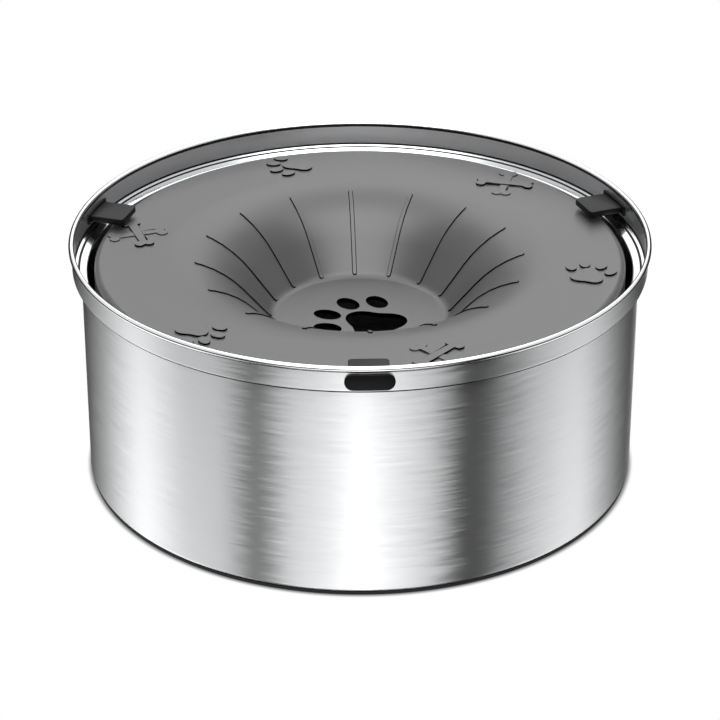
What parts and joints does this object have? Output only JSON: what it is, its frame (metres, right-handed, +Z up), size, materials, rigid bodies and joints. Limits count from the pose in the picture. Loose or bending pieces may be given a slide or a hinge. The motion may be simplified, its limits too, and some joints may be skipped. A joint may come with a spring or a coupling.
{
  "type": "no-spill water bowl",
  "caption": "Round steel water bowl with a floating dished disk; water rises through paw-shaped holes in it, and sliding locks through the band under the rolled rim hold it in.",
  "frame": {"origin": "centre of the base, on the surface the bowl stands on", "axes": "+Z up; the front lock looks along -Y, +X to the right seen from the front"},
  "size_m": [0.25, 0.25, 0.108],
  "materials": {
    "steel": "stainless steel, brushed round the outside, polished inside and on the rim",
    "base_rubber": "matte black rubber",
    "disk_plastic": "moulded grey plastic, fine matte grain",
    "black_plastic": "moulded black plastic, satin"
  },
  "bodies": {
    "bowl": {"bowl_shell": "steel", "base_ring": "base_rubber", "lock_guide_front": "black_plastic", "lock_guide_right": "black_plastic", "lock_guide_left": "black_plastic"},
    "float": {"float_top": "disk_plastic", "dish_floor": "disk_plastic", "float_bottom": "black_plastic"},
    "lock_front": {"lock_tongue_front": "black_plastic", "lock_button_front": "black_plastic"},
    "lock_right": {"lock_tongue_right": "black_plastic", "lock_button_right": "black_plastic"},
    "lock_left": {"lock_tongue_left": "black_plastic", "lock_button_left": "black_plastic"}
  },
  "joints": [
    {"name": "float_rise", "type": "slide", "parent": "bowl", "child": "float", "axis": [0, 0, 1], "range_m": [-0.0632, 0.0009], "stiffness_N_per_m": 353, "springref_m": 0.00634},
    {"name": "lock_front_slide", "type": "slide", "parent": "bowl", "child": "lock_front", "axis": [0.0314, -0.9995, 0], "range_m": [0, 0.0089]},
    {"name": "lock_right_slide", "type": "slide", "parent": "bowl", "child": "lock_right", "axis": [0.9272, 0.3746, 0], "range_m": [0, 0.0089]},
    {"name": "lock_left_slide", "type": "slide", "parent": "bowl", "child": "lock_left", "axis": [-0.9537, 0.3007, 0], "range_m": [0, 0.0089]}
  ]
}
